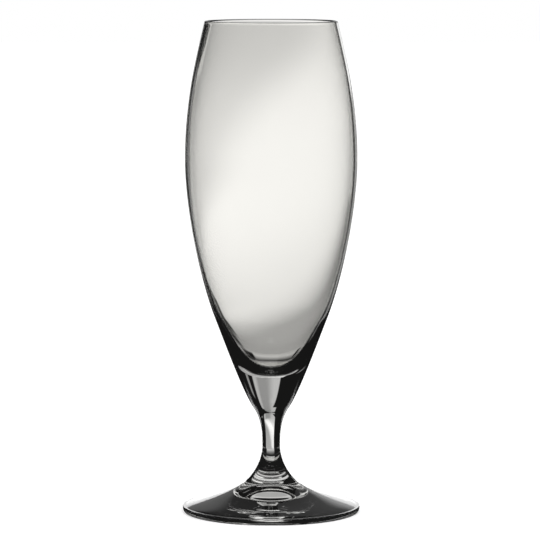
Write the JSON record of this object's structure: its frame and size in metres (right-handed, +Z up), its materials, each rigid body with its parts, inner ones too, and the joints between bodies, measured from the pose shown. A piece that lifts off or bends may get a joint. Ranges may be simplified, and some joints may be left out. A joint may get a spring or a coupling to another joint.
{
  "type": "pilsner glass",
  "caption": "Clear stemmed pilsner glass: tall tulip bowl on a solid cone, short waisted stem and domed round foot, fused at two welds.",
  "frame": {"origin": "on the table under the middle of the foot: the centre of the flat ring that the glass stands on", "axes": "+Z up along the glass's axis of revolution, towards the mouth; X and Y are any two square directions, as the glass is round"},
  "size_m": [0.0794, 0.0794, 0.22],
  "materials": {
    "clear_glass_bowl": "fire-polished clear soda-lime glass",
    "clear_glass_stem": "fire-polished clear soda-lime glass",
    "clear_glass_foot": "fire-polished clear soda-lime glass"
  },
  "bodies": {
    "root": {"bowl": "clear_glass_bowl", "stem": "clear_glass_stem", "foot": "clear_glass_foot"}
  },
  "joints": []
}
